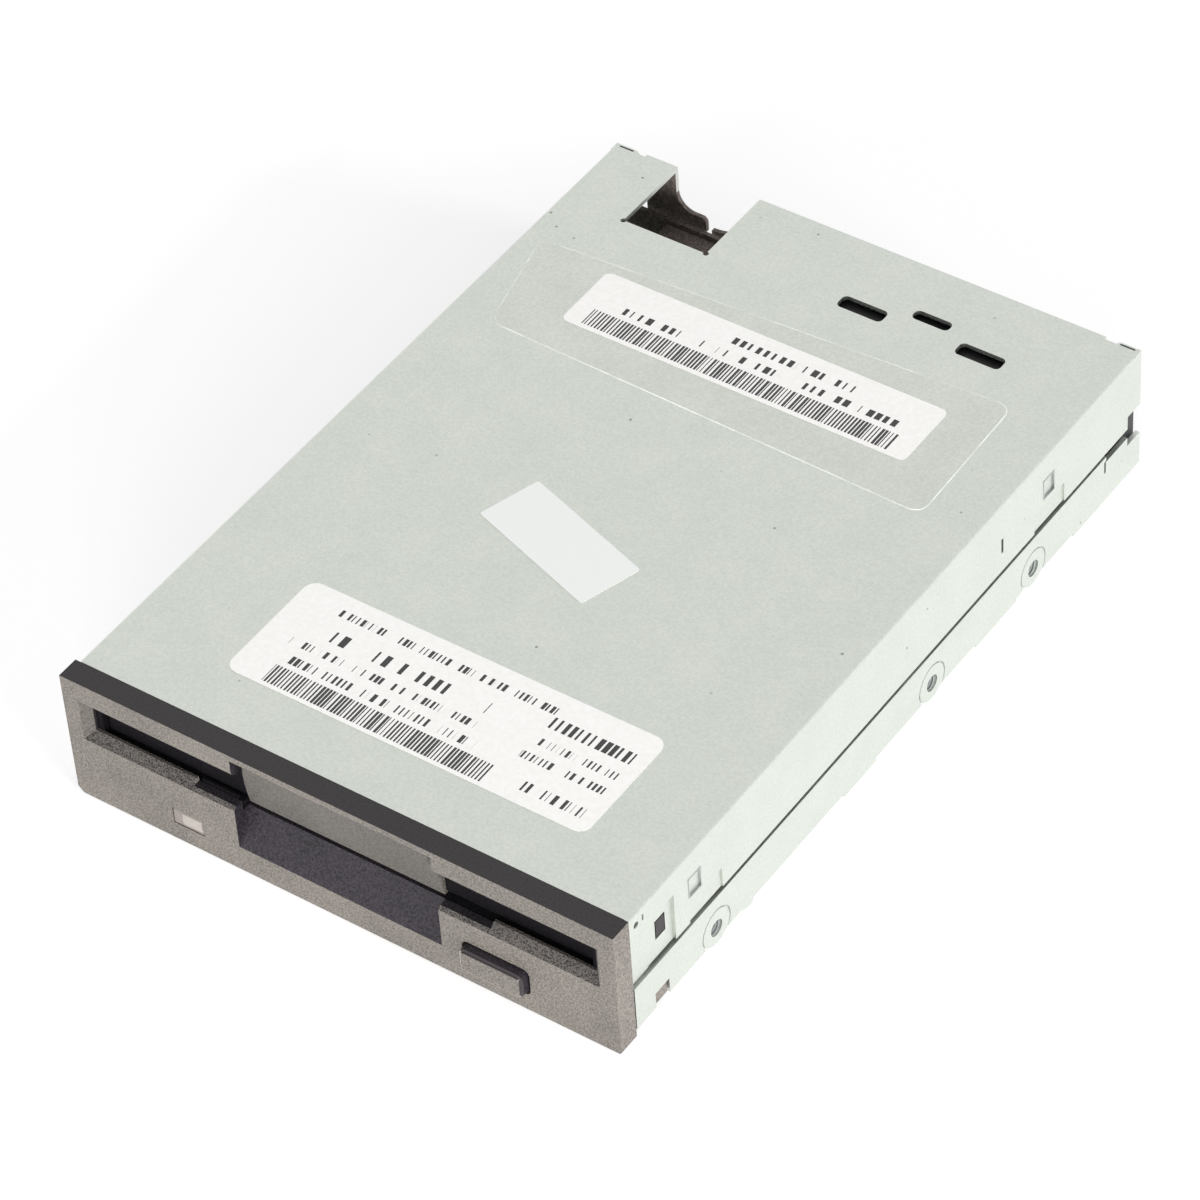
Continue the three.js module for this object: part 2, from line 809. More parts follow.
// Door spring: a small coil that lies behind the flap along its axis, drawn as its outer shape with two legs
function doorSpring() {
  const centreY = doorAxisY + doorThickness + doorPinRadius + doorSpringRadius + seatGap;
  const coil = bar('x', centreY, doorAxisZ + doorSpringRise, doorSpringRadius,
    doorSpringCentre - doorSpringLength / 2, doorSpringCentre + doorSpringLength / 2);
  const leg = block(
    doorSpringCentre + doorSpringLength / 2 - doorSpringWire, doorSpringCentre + doorSpringLength / 2,
    centreY - doorSpringWire / 2, centreY + doorSpringWire / 2, doorAxisZ, coverTop - sheet - fitGap);
  return join([coil, leg]);
}

// Eject button: a rounded cap with a stem that reaches back to the slide plate's tab
function ejectButton() {
  const capFront = extrude(roundedRectangle(
    buttonCentreX - buttonWidth / 2 + buttonEdge, buttonCentreX + buttonWidth / 2 - buttonEdge,
    buttonCentreZ - buttonHeight / 2 + buttonEdge, buttonCentreZ + buttonHeight / 2 - buttonEdge,
    buttonRound - buttonEdge), 'y', -buttonProud, -buttonProud + buttonEdge);
  const cap = extrude(roundedRectangle(
    buttonCentreX - buttonWidth / 2, buttonCentreX + buttonWidth / 2,
    buttonCentreZ - buttonHeight / 2, buttonCentreZ + buttonHeight / 2, buttonRound),
  'y', -buttonProud + buttonEdge, -buttonProud + buttonBodyDepth);
  const stem = block(
    buttonCentreX - stemWidth / 2, buttonCentreX + stemWidth / 2,
    -buttonProud + buttonBodyDepth - overrun, slideTabFront,
    buttonCentreZ - stemHeight / 2, buttonCentreZ + stemHeight / 2);
  return join([capFront, cap, stem]);
}

// LED with its lens in the bezel
const ledCentreX = (ledWindowLeft + ledWindowRight) / 2;
const ledTop = sensorBoardBottom;

function lens() {
  return block(ledWindowLeft + fitGap, ledWindowRight - fitGap, fitGap / 2, lensDepth,
    ledWindowBottom + fitGap, ledWindowTop - fitGap);
}

function led() {
  const body = block(ledCentreX - ledHalfWidth, ledCentreX + ledHalfWidth,
    ledFrontY, ledFrontY + ledBodyDepth, ledTop - ledHeight, ledTop);
  const legs = block(ledCentreX - ledLegHalfWidth, ledCentreX + ledLegHalfWidth,
    ledFrontY, ledFrontY + ledBodyDepth + ledLegReach, ledTop - ledLegThickness, ledTop);
  return join([body, legs]);
}

// Slide plate: a flat frame over the deck with side walls whose sloping slots lift and lower the cage
const slideBottom = deckTop + seatGap;
const slideTop = slideBottom + slideSheet;
const slideTabFront = slideFront - slideTabReach;
const guidePlaces = [guideFirstY, guideSecondY];
const slideSlotHalf = cagePinRadius + seatGap;

function slidePlate() {
  const wallOutside = slideWallInside + slideSheet;
  const crossbar = block(-wallOutside, wallOutside, slideFront, slideBarRear, slideBottom, slideTop);
  const arm = block(slideArmInside, wallOutside, slideFront, slideRear, slideBottom, slideTop);
  const wall = block(slideWallInside, wallOutside, slideFront, slideRear, slideBottom, slideWallTop);
  const slots = guidePlaces.map((place) => {
    const lowZ = cagePinZ - cageDrop;
    return extrude(polygon([
      [place - slideSlotHalf, cagePinZ + slideSlotHalf],
      [place - slideSlotHalf, cagePinZ - slideSlotHalf],
      [place + slideTravel - slideSlotHalf, lowZ - slideSlotHalf],
      [place + slideTravel + slideSlotHalf, lowZ - slideSlotHalf],
      [place + slideTravel + slideSlotHalf, lowZ + slideSlotHalf],
      [place + slideSlotHalf, cagePinZ + slideSlotHalf],
    ]), 'x', slideWallInside - overrun, wallOutside + overrun);
  });
  const springTab = block(
    springTabX, springTabX + slideSheet, springTabY, springTabY + springTabLength,
    springTabFoot, slideTop);
  const tabNeck = block(slideTabLeft, slideTabLeft + slideTabWidth, slideTabFront, slideFront + overrun,
    slideBottom, slideTop);
  const tab = block(slideTabLeft, slideTabLeft + slideTabWidth, slideTabFront, slideTabFront + slideSheet,
    slideTabFoot, slideTop);
  const switchCuts = [writeSwitchX, diskSwitchX, densitySwitchX].map((place) => block(
    place - switchHalfWidth - seatGap, place + switchHalfWidth + seatGap,
    slideFront - overrun, switchY + switchHalfDepth + seatGap + slideTravel,
    slideBottom - overrun, slideTop + overrun));
  const body = join([crossbar, bothSides(join([arm, wall, springTab])), tabNeck, tab]);
  return cut(body, [...switchCuts, ...slots, ...slots.map(mirrorX)]);
}

// Eject spring: one unbroken coil under the deck between the chassis tab and the slide plate's tab
const springLength = springRear - springFront - 2 * springWireRadius;
const springPitch = springLength / springCurls;

function springPoint(share) {
  const angle = 2 * Math.PI * springCurls * share;
  return new THREE.Vector3(
    springX + springMeanRadius * Math.cos(angle),
    springFront + springWireRadius + springLength * share,
    springZ + springMeanRadius * Math.sin(angle));
}

function ejectSpring() {
  const stepsPerCurl = 8;
  const sides = 5;
  const steps = springCurls * stepsPerCurl;
  const positions = [];
  const rings = [];
  for (let step = 0; step <= steps; step += 1) {
    const centre = springPoint(step / steps);
    const outward = new THREE.Vector3(centre.x - springX, 0, centre.z - springZ).normalize();
    const along = new THREE.Vector3(0, 1, 0);
    rings.push(Array.from({ length: sides }, (_, side) => {
      const angle = (2 * Math.PI * side) / sides;
      positions.push(centre.clone()
        .addScaledVector(outward, springWireRadius * Math.cos(angle))
        .addScaledVector(along, springWireRadius * Math.sin(angle)).toArray());
      return positions.length - 1;
    }));
  }
  const triangles = [];
  for (let step = 0; step < steps; step += 1) {
    for (let side = 0; side < sides; side += 1) {
      const next = (side + 1) % sides;
      const [a, b] = [rings[step][side], rings[step][next]];
      const [c, d] = [rings[step + 1][side], rings[step + 1][next]];
      triangles.push(a, b, d, a, d, c);
    }
  }
  for (let side = 1; side < sides - 1; side += 1) {
    triangles.push(rings[0][0], rings[0][side + 1], rings[0][side]);
    triangles.push(rings[steps][0], rings[steps][side], rings[steps][side + 1]);
  }
  const geometry = new THREE.BufferGeometry();
  geometry.setAttribute('position', new THREE.Float32BufferAttribute(positions.flat(), 3));
  geometry.setIndex(triangles);
  const body = solid(geometry);
  return body.volume() > 0 ? body : solid(flipped(geometry));
}

function flipped(geometry) {
  const turned = geometry.clone();
  const index = Array.from(geometry.index.array);
  for (let corner = 0; corner < index.length; corner += triangleCorners) {
    [index[corner], index[corner + 1]] = [index[corner + 1], index[corner]];
  }
  turned.setIndex(index);
  return turned;
}

// The least gap between neighbouring curls, measured on points of the coil's centre line
function springGap() {
  const samples = 40 * springCurls;
  const points = Array.from({ length: samples + 1 }, (_, step) => springPoint(step / samples));
  const halfCurl = samples / springCurls / 2;
  let least = Infinity;
  points.forEach((point, first) => {
    for (let second = Math.ceil(first + halfCurl); second <= samples; second += 1) {
      least = Math.min(least, point.distanceTo(points[second]));
    }
  });
  return least - 2 * springWireRadius;
}
console.log(`eject spring: least gap to itself ${springGap().toFixed(3)} mm`);

// Chassis: a deck with down-turned side walls, mounting bosses, guides for the cage and a rear strip
const deckBottom = deckTop - sheet;
const holePlaces = [
  holeFirstY,
  holeFirstY + holeSecondStep,
  holeFirstY + holeSecondStep + holeThirdStep,
];
const mainBoardTop = mainBoardBottom + mainBoardThickness;
const motorBoardTop = motorBoardBottom + motorBoardThickness;
const sensorBoardTop = sensorBoardBottom + sensorBoardThickness;
const mainScrews = [
  { x: -mainScrewX, y: mainScrewFrontY },
  { x: mainScrewX, y: mainScrewFrontY },
  { x: -mainScrewRearX, y: mainScrewRearY },
];
const motorScrews = [
  { x: -motorScrewX, y: motorScrewFrontY },
  { x: motorScrewX, y: motorScrewFrontY },
  { x: -motorScrewRearX, y: motorScrewRearY },
];
const sensorScrew = { x: -sensorScrewX, y: sensorScrewY };
const rodSeats = [
  { x: mainRodX, radius: mainRodRadius },
  { x: screwX, radius: leadScrewRadius + fitGap },
  { x: subRodX, radius: subRodRadius },
];
const bracketScrews = [bracketLeft, bracketRight - bracketFootWidth].map((left) => ({
  x: left + bracketFootWidth / 2,
  y: bracketY - bracketFootDepth / 2,
}));

function sideWall() {
  const outline = polygon([
    [chassisFront, wallFoot],
    [chassisRear, wallFoot],
    [chassisRear, cornerWallTop],
    [cornerNotchY, cornerWallTop],
    [cornerNotchY, rearWallTop],
    [reliefY + reliefWidth, rearWallTop],
    [reliefY + reliefWidth, reliefFoot],
    [reliefY, reliefFoot],
    [reliefY, deckTop],
    [chassisFront, deckTop],
  ]);
  const inside = bodyHalfWidth - sheet;
  const wall = extrude(outline, 'x', inside, bodyHalfWidth);
  const lobes = holePlaces.map((place) => bar('x', place, holeZ, lobeRadius, inside, bodyHalfWidth));
  const footStretches = [
    [firstFootY - firstFootLength / 2, firstFootY + firstFootLength / 2],
    [secondFootY - secondFootLength / 2, secondFootY + secondFootLength / 2],
    [rearFootFront, chassisRear],
  ].map(([front, rear]) => block(
    inside, bodyHalfWidth, front, rear, wallFoot - footDrop, wallFoot + overrun));
  const collars = holePlaces.map((place) => bar(
    'x', place, holeZ, collarRadius, inside - collarLength, inside + sheet / 2));
  const holes = holePlaces.map((place) => bar(
    'x', place, holeZ, mountHoleRadius, inside - collarLength - overrun, bodyHalfWidth + overrun));
  const rings = holePlaces.map((place) => tube(
    'x', place, holeZ, ringRadius, ringRadius - ringWidth, bodyHalfWidth - pressDepth, bodyHalfWidth + overrun)
    .intersect(block(0, bezelHalfWidth + overrun, 0, bodyRear, holeZ - ringRadius, deckTop)));
  const window = block(inside - overrun, bodyHalfWidth + overrun, lowerSnapY, lowerSnapY + lowerSnapWindow,
    snapWindowLow, snapWindowHigh);
  return cut(join([wall, ...lobes, ...footStretches, ...collars]), [...holes, ...rings, window]);
}

function bottomTabs() {
  return join([bottomBossFirstY, bottomBossFirstY + bottomBossStep].map((place) => {
    const tab = block(bottomBossX - bottomTabReach + bottomBossRadius, bodyHalfWidth - sheet / 2,
      place - bottomTabWidth / 2, place + bottomTabWidth / 2, bottomTabZ, bottomTabZ + sheet);
    const boss = bar('z', bottomBossX, place, bottomBossRadius, 0, bottomTabZ + sheet);
    const hole = bar('z', bottomBossX, place, bottomBossHole, -overrun, bottomTabZ + sheet + overrun);
    return join([tab, boss]).subtract(hole);
  }));
}

function cageGuides() {
  return join(guidePlaces.map((place) => {
    const slotHalf = cagePinRadius + guideSlotGap;
    const guide = block(guideInside, guideInside + sheet, place - guideHalfWidth, place + guideHalfWidth,
      deckBottom, guideTop);
    return guide.subtract(block(guideInside - overrun, guideInside + sheet + overrun,
      place - slotHalf, place + slotHalf, cagePinZ - cageDrop - slotHalf, cagePinZ + slotHalf));
  }));
}

function rearStrip() {
  const shape = new THREE.Shape();
  shape.moveTo(rearStripLeft, deckBottom - sheet);
  shape.lineTo(powerLeft - powerStripGap, deckBottom - sheet);
  shape.lineTo(powerLeft - powerStripGap, rearStripBottom);
  shape.lineTo(powerRight + powerStripGap, rearStripBottom);
  shape.lineTo(powerRight + powerStripGap, deckBottom);
  shape.lineTo(rearStripRight, deckBottom);
  shape.lineTo(rearStripRight, rearStripTop);
  shape.lineTo(rearStripLeft, rearStripTop);
  return extrude(shape, 'y', rearStripY, rearStripY + sheet);
}

function screwBoss(place, foot) {
  return bar('z', place.x, place.y, bossRadius, foot, deckBottom + sheet / 2);
}

function screwBore(place, foot) {
  return bar('z', place.x, place.y, screwRadius + fitGap, foot - overrun, deckTop + overrun);
}

function chassis() {
  const deck = block(-bodyHalfWidth, bodyHalfWidth, deckFront, deckRear, deckBottom, deckTop);
  const frontCorner = block(bodyHalfWidth - sheet, bodyHalfWidth, chassisFront, deckFront + overrun,
    deckBottom, deckTop);
  const rearTongue = block(rearStripRight - rearTongueWidth, rearStripRight, deckRear - overrun,
    rearStripY + sheet, deckBottom, deckTop);
  const cornerPiece = block(-bodyHalfWidth + sheet / 2, rearStripLeft + sheet, rearStripY,
    rearStripY + sheet, cornerWallTop - sheet, deckBottom);
  const rodTabs = rodSeats.map(({ x }) => block(
    x - rodTabHalfWidth, x + rodTabHalfWidth, rodTabY - sheet, rodTabY, rodTabFoot, deckTop));
  const rodBores = rodSeats.map(({ x, radius }) => bar(
    'y', x, rodZ, radius + fitGap, rodTabY - sheet - fitGap, headOpeningFront + overrun));
  const springAnchor = block(
    springX - springAnchorWidth / 2, springX + springAnchorWidth / 2,
    springFront - seatGap - springAnchorThickness, springFront - seatGap,
    springZ - springMeanRadius, deckTop);
  const openings = [
    bar('z', 0, spindleY, spindleOpening, 0, deckTop + overrun, wideRound),
    block(-tongueHalfWidth - overrun, tongueHalfWidth + overrun, spindleY, headOpeningFront + overrun,
      0, deckTop + overrun),
    block(headOpeningLeft, headOpeningRight, headOpeningFront, headOpeningRear, 0, deckTop + overrun),
    block(stepperCutLeft, stepperCutRight, headOpeningFront, deckRear + overrun, 0, deckTop + overrun),
    block(slideTabLeft - slideTabClearance, slideTabLeft + slideTabWidth + slideTabClearance, 0,
      slideTabFront + slideSheet + slideTabClearance, 0, deckTop + overrun),
    ...[writeSwitchX, diskSwitchX, densitySwitchX].map((place) => block(
      place - switchHalfWidth - seatGap, place + switchHalfWidth + seatGap,
      switchY - switchHalfDepth - seatGap, switchY + switchHalfDepth + seatGap, 0, deckTop + overrun)),
  ];
  const springSlot = block(
    springTabX - seatGap, springTabX + slideSheet + seatGap,
    springTabY - slideTravel - seatGap, springTabY + springTabLength + seatGap, 0, deckTop + overrun);
  const plate = cut(deck, [...openings, springSlot, mirrorX(springSlot)]);
  const bosses = [
    ...mainScrews.map((place) => screwBoss(place, mainBoardTop)),
    ...motorScrews.map((place) => screwBoss(place, motorBoardTop)),
    screwBoss(sensorScrew, sensorBoardTop),
  ];
  const bores = [
    ...mainScrews.map((place) => screwBore(place, mainBoardTop)),
    ...motorScrews.map((place) => screwBore(place, motorBoardTop)),
    screwBore(sensorScrew, sensorBoardTop),
  ];
  const bracketHoles = bracketScrews.map((place) => bar(
    'z', place.x, place.y, screwRadius + fitGap, 0, deckTop + overrun));
  const body = join([
    plate,
    bothSides(join([frontCorner, sideWall(), bottomTabs(), cageGuides(), springAnchor])),
    rearStrip(),
    rearTongue,
    cornerPiece,
    ...rodTabs,
    ...bosses,
  ]);
  return cut(body, [...bores, ...rodBores, ...bracketHoles]);
}

// Top cover: a folded sheet with skirts, a notch and flanges at the rear and pressed marks on the sides
function coverProfile() {
  const inner = coverBend - sheet / 2;
  const shape = new THREE.Shape();
  shape.moveTo(-bodyHalfWidth, skirtBottom);
  shape.lineTo(-bodyHalfWidth + sheet, skirtBottom);
  shape.lineTo(-bodyHalfWidth + sheet, coverTop - sheet - inner);
  shape.absarc(-bodyHalfWidth + sheet + inner, coverTop - sheet - inner, inner,
    Math.PI, quarterTurn, true);
  shape.lineTo(bodyHalfWidth - sheet - inner, coverTop - sheet);
  shape.absarc(bodyHalfWidth - sheet - inner, coverTop - sheet - inner, inner, quarterTurn, 0, true);
  shape.lineTo(bodyHalfWidth - sheet, skirtBottom);
  shape.lineTo(bodyHalfWidth, skirtBottom);
  shape.lineTo(bodyHalfWidth, coverTop - coverBend);
  shape.absarc(bodyHalfWidth - coverBend, coverTop - coverBend, coverBend, 0, quarterTurn, false);
  shape.lineTo(-bodyHalfWidth + coverBend, coverTop);
  shape.absarc(-bodyHalfWidth + coverBend, coverTop - coverBend, coverBend,
    quarterTurn, Math.PI, false);
  return shape;
}

function leftFlange() {
  const shape = new THREE.Shape();
  shape.moveTo(notchLeft, coverTop);
  shape.lineTo(flangeLeft, coverTop);
  shape.lineTo(flangeLeft, flangeBottom + flangeRound);
  shape.absarc(flangeLeft + flangeRound, flangeBottom + flangeRound, flangeRound,
    Math.PI, Math.PI + quarterTurn, false);
  shape.lineTo(flangeFootRight - flangeRound, flangeBottom);
  shape.absarc(flangeFootRight - flangeRound, flangeBottom + flangeRound, flangeRound,
    -quarterTurn, 0, false);
  shape.lineTo(flangeFootRight, flangeFootTop - flangeRound);
  shape.absarc(flangeFootRight - flangeRound, flangeFootTop - flangeRound, flangeRound,
    0, quarterTurn, false);
  shape.lineTo(notchLeft + flangeFillet, flangeFootTop);
  shape.absarc(notchLeft + flangeFillet, flangeFootTop + flangeFillet, flangeFillet,
    -quarterTurn, -Math.PI, true);
  return extrude(shape, 'y', flangeOutside - sheet, flangeOutside, flangeSteps);
}

function middleFlange() {
  const shape = new THREE.Shape();
  shape.moveTo(notchRight, coverTop);
  shape.lineTo(notchRight, middleFlangeFootTop + middleFlangeCurve);
  shape.absarc(notchRight - middleFlangeCurve, middleFlangeFootTop + middleFlangeCurve, middleFlangeCurve,
    0, -quarterTurn, true);
  shape.lineTo(notchRight - middleFlangeCurve, flangeBottom);
  shape.lineTo(notchRight + flangeRound, flangeBottom);
  shape.lineTo(notchRight + flangeRound, middleFlangeBottom);
  shape.lineTo(middleFlangeRight - flangeRound, middleFlangeBottom);
  shape.absarc(middleFlangeRight - flangeRound, middleFlangeBottom + flangeRound, flangeRound,
    -quarterTurn, 0, false);
  shape.lineTo(middleFlangeRight, coverTop);
  return extrude(shape, 'y', flangeOutside - sheet, flangeOutside, flangeSteps);
}

function skirtDetails() {
  const recess = block(bodyHalfWidth - recessDepth, bodyHalfWidth + overrun, 0, recessRear,
    0, recessTop);
  const marks = [
    [squareFirstY, squareFirstY + squareWidth, squareBottom, squareBottom + squareHeight],
    [squareSecondY, squareSecondY + squareWidth, squareBottom, squareBottom + squareHeight],
    [squareFirstY, squareFirstY + stripFirstLength, 0, stripHeight],
    [stripSecondY, stripSecondY + stripSecondLength, 0, stripHeight],
  ].map(([front, rear, low, high]) => block(
    bodyHalfWidth - pressDepth, bodyHalfWidth + overrun, front, rear, low, high));
  const through = (front, rear, low, high) => block(
    bodyHalfWidth - skirtCutReach, bodyHalfWidth + overrun, front, rear, low, high);
  const holes = [
    through(snapHoleY, snapHoleY + snapHoleLength, snapHoleBottom, snapHoleTop),
    through(frontSlitY, frontSlitY + frontSlitWidth, frontSlitBottom, frontSlitTop),
    through(skirtSlitY, skirtSlitY + skirtSlitWidth, skirtSlitBottom, skirtSlitTop),
    through(cornerNotchY, returnOutside + overrun, 0, returnBottom),
    bar('x', skirtHoleY, skirtHoleZ, skirtHoleRadius, bodyHalfWidth - skirtCutReach, bodyHalfWidth + overrun),
  ];
  return [recess, ...marks, ...holes];
}

function topCover() {
  const shell = extrude(coverProfile(), 'y', bodyFront, bodyRear);
  const recessBack = block(bodyHalfWidth - sheet - recessDepth, bodyHalfWidth - sheet / 2,
    bodyFront, recessRear + sheet, skirtBottom, recessTop + sheet);
  const returnWall = join([
    block(bodyHalfWidth - sheet, bodyHalfWidth, bodyRear - overrun, returnOutside, returnBottom, returnTop),
    extrude(roundedRectangle(returnInside, bodyHalfWidth, returnBottom, returnTop, returnRound),
      'y', returnOutside - sheet, returnOutside),
  ]);
  const ledge = (left, right) => block(
    left, right, bodyRear - overrun, flangeOutside, coverTop - sheet, coverTop);
  const notch = block(notchLeft, notchRight, notchFront, flangeOutside + overrun,
    coverTop - sheet - overrun, coverTop + overrun);
  const reliefs = [notchLeft, notchRight].map((x) => bar(
    'z', x, notchFront, notchRelief, coverTop - sheet - overrun, coverTop + overrun));
  const slots = [
    [firstSlotLeft, firstSlotRight, outerSlotFront, outerSlotRear],
    [middleSlotLeft, middleSlotRight, middleSlotFront, middleSlotRear],
    [lastSlotLeft, lastSlotRight, outerSlotFront, outerSlotRear],
  ].map(([left, right, front, rear]) => extrude(
    roundedRectangle(left, right, front, rear, topSlotRound), 'z',
    coverTop - sheet - overrun, coverTop + overrun));
  const body = join([shell, bothSides(join([recessBack, returnWall])),
    ledge(flangeLeft, notchLeft), ledge(notchRight, middleFlangeRight), leftFlange(), middleFlange()]);
  const details = skirtDetails();
  return cut(body, [notch, ...reliefs, ...slots, ...details, ...details.map(mirrorX)]);
}

// Labels: thin stickers on the cover's top face
function label(name, [x, y], [width, depth], round, degrees, material) {
  const sticker = piece(name, extrude(
    roundedRectangle(-width / 2, width / 2, -depth / 2, depth / 2, round), 'z',
    0, labelThickness), material);
  sticker.position.set(x, y, coverTop);
  sticker.rotation.z = degrees * radians;
}

// Disk cage: folded rails and a top plate that hold the disk, with pins for the guides and the slide plate
const cageCeiling = cageLipTop + cageClearHeight;
const cageTop = cageCeiling + sheet;

function diskCage() {
  const rail = block(cageClearHalfWidth, cageHalfWidth, cageFront, cageRear, cageLipTop - sheet, cageTop);
  const lip = block(cageClearHalfWidth - cageLipWidth, cageHalfWidth, cageFront, cageRear,
    cageLipTop - sheet, cageLipTop);
  const plate = block(-cageHalfWidth, cageHalfWidth, cagePlateFront, cageRear, cageCeiling, cageTop);
  const leftRear = block(-cageHalfWidth, -cageHeadHalfWidth, cageRear - overrun, cageLeftRear,
    cageCeiling, cageTop);
  const lifter = block(cageHeadHalfWidth + seatGap, lifterRight, cageRear - overrun, lifterRear,
    cageCeiling, cageTop);
  const stop = block(diskStopLeft, diskStopLeft + diskStopWidth, cageRear - sheet, cageRear,
    cageLipTop, cageTop);
  const pins = guidePlaces.map((place) => bar(
    'x', place, cagePinZ, cagePinRadius, cageClearHalfWidth + sheet / 2, cagePinEnd));
  const post = bar('z', leverPivotX, leverPivotY, postRadius, cageCeiling, cageTop + postHeight);
  const headCut = block(-cageHeadHalfWidth, cageHeadHalfWidth, cageHeadFront, cageLeftRear + overrun,
    cageCeiling - overrun, cageTop + overrun);
  const body = join([plate, leftRear, lifter, stop, post,
    bothSides(join([rail, lip, ...pins]))]);
  return cut(body, [headCut, leverSweep()]);
}

// The arc that the lever's finger sweeps through the cage's top plate
function leverSweep() {
  const inner = leverLength - fingerRadius - seatGap;
  const outer = leverLength + fingerRadius + seatGap;
  const margin = (fingerRadius + seatGap) / leverLength;
  const from = leverRestAngle * radians - margin;
  const to = (leverRestAngle + leverSwing) * radians + margin;
  const shape = new THREE.Shape();
  shape.moveTo(leverPivotX + inner * Math.cos(from), leverPivotY + inner * Math.sin(from));
  shape.absarc(leverPivotX, leverPivotY, outer, from, to, false);
  shape.absarc(leverPivotX, leverPivotY, inner, to, from, true);
  return extrude(shape, 'z', cageCeiling - overrun, cageTop + overrun, noseSteps);
}

// Shutter lever: swings on the cage's post, its finger down through the arc slot
const leverBottom = cageTop + seatGap;

function shutterLever() {
  const angle = leverRestAngle * radians;
  const hub = bar('z', 0, 0, leverHubRadius, 0, leverThickness);
  const arm = block(0, leverLength, -leverWidth / 2, leverWidth / 2, 0, leverThickness);
  const tip = bar('z', leverLength, 0, fingerRadius, fingerFoot - leverBottom, leverThickness);
  const hole = bar('z', 0, 0, postRadius + postGap, -overrun, leverThickness + overrun);
  return join([hub, arm, bar('z', leverLength, 0, leverWidth / 2, 0, leverThickness), tip])
    .subtract(hole)
    .rotate([0, 0, angle / radians])
    .translate([leverPivotX, leverPivotY, leverBottom]);
}

function leverSpring() {
  const bottom = leverBottom + leverThickness + fitGap;
  return tube('z', leverPivotX, leverPivotY, leverSpringOutside, postRadius + postGap,
    bottom, bottom + leverSpringHeight);
}

// Switches: a square body with a bore and a round plunger that the disk pushes down
function switchBody(x, bottom) {
  const body = block(x - switchHalfWidth, x + switchHalfWidth,
    switchY - switchHalfDepth, switchY + switchHalfDepth, bottom, switchTop);
  const bore = bar('z', x, switchY, plungerRadius + seatGap,
    plungerBottom - plungerTravel - seatGap, switchTop + overrun, smallRound);
  return body.subtract(bore);
}

function plunger(x) {
  return bar('z', x, switchY, plungerRadius, plungerBottom, plungerTop, smallRound);
}

// Screws enter from below, with a slotted recess in the head
function screw(place, seat, upward = 1) {
  const head = bar('z', 0, 0, screwHeadRadius, -screwHeadHeight, 0);
  const shank = bar('z', 0, 0, screwRadius, -overrun / 2, screwLength, smallRound);
  const across = screwSlotWidth;
  const slot = join([
    block(-across / 2, across / 2, -screwRecess / 2, screwRecess / 2,
      -screwHeadHeight - overrun, -screwHeadHeight + screwRecess),
    block(-screwRecess / 2, screwRecess / 2, -across / 2, across / 2,
      -screwHeadHeight - overrun, -screwHeadHeight + screwRecess),
  ]);
  const body = join([head, shank]).subtract(slot);
  const turned = upward > 0 ? body : body.rotate([180, 0, 0]);
  return turned.translate([place.x, place.y, seat]);
}

function boardHoles(places, bottom, top) {
  return places.map((place) => bar(
    'z', place.x, place.y, screwRadius + fitGap, bottom - overrun, top + overrun));
}

function sensorBoard() {
  const board = block(sensorBoardLeft, sensorBoardRight, sensorBoardFront, sensorBoardRear,
    sensorBoardBottom, sensorBoardTop);
  return cut(board, boardHoles([sensorScrew], sensorBoardBottom, sensorBoardTop));
}

// Motor board with clipped corners
function motorBoard() {
  const outline = polygon([
    [motorBoardLeft + motorBoardCorner, motorBoardFront],
    [motorBoardRight - motorBoardCorner, motorBoardFront],
    [motorBoardRight, motorBoardFront + motorBoardCorner],
    [motorBoardRight, motorBoardRear - motorBoardRelief],
    [motorBoardRight - motorBoardRelief, motorBoardRear],
    [motorBoardLeft, motorBoardRear],
    [motorBoardLeft, motorBoardFront + motorBoardCorner],
  ]);
  return cut(extrude(outline, 'z', motorBoardBottom, motorBoardTop),
    boardHoles(motorScrews, motorBoardBottom, motorBoardTop));
}

// Spindle motor: sleeve, stator core with its coils, rotor cup with magnet ring, hub and drive pin
const shaftGap = runGap / 2;

function bearingSleeve() {
  return tube('z', 0, spindleY, sleeveOutside, shaftRadius + shaftGap, motorBoardTop, sleeveTop);
}

function statorShape(extra) {
  const ring = tube('z', 0, 0, statorYoke + extra, statorInside, statorBottom - extra, statorTop + extra);
  const arms = Array.from({ length: statorArms }, (_, index) => {
    const arm = block(statorInside + sheet, statorOutside, -statorArmWidth / 2 - extra,
      statorArmWidth / 2 + extra, statorBottom - extra, statorTop + extra);
    return arm.rotate([0, 0, (index * 360) / statorArms]);
  });
  return join([ring, ...arms]);
}

function statorCore() {
  const shoes = Array.from({ length: statorArms }, (_, index) => {
    const half = (statorShoeDegrees * radians) / 2;
    const middle = (index * 2 * Math.PI) / statorArms;
    const shape = new THREE.Shape();
    shape.moveTo(statorShoeInside * Math.cos(middle - half), statorShoeInside * Math.sin(middle - half));
    shape.absarc(0, 0, statorOutside, middle - half, middle + half, false);
    shape.absarc(0, 0, statorShoeInside, middle + half, middle - half, true);
    return extrude(shape, 'z', statorBottom, statorTop, 1);
  });
  const limit = bar('z', 0, 0, statorOutside, statorBottom, statorTop, wideRound);
  return join([statorShape(0), ...shoes]).intersect(limit).translate([0, spindleY, 0]);
}

function statorCoils() {
  const blocks = Array.from({ length: statorArms }, (_, index) => block(
    coilInside, coilOutside, -coilWidth / 2, coilWidth / 2, statorBottom - coilOver, statorTop + coilOver)
    .rotate([0, 0, (index * 360) / statorArms]));
  const ring = tube('z', 0, 0, coilInside + coilWidth / 2, coilInside - sheet,
    statorBottom - coilOver - coilRingHeight, statorBottom - coilOver + coilRingHeight / 2);
  return join([...blocks, ring]).subtract(statorShape(fitGap)).translate([0, spindleY, 0]);
}

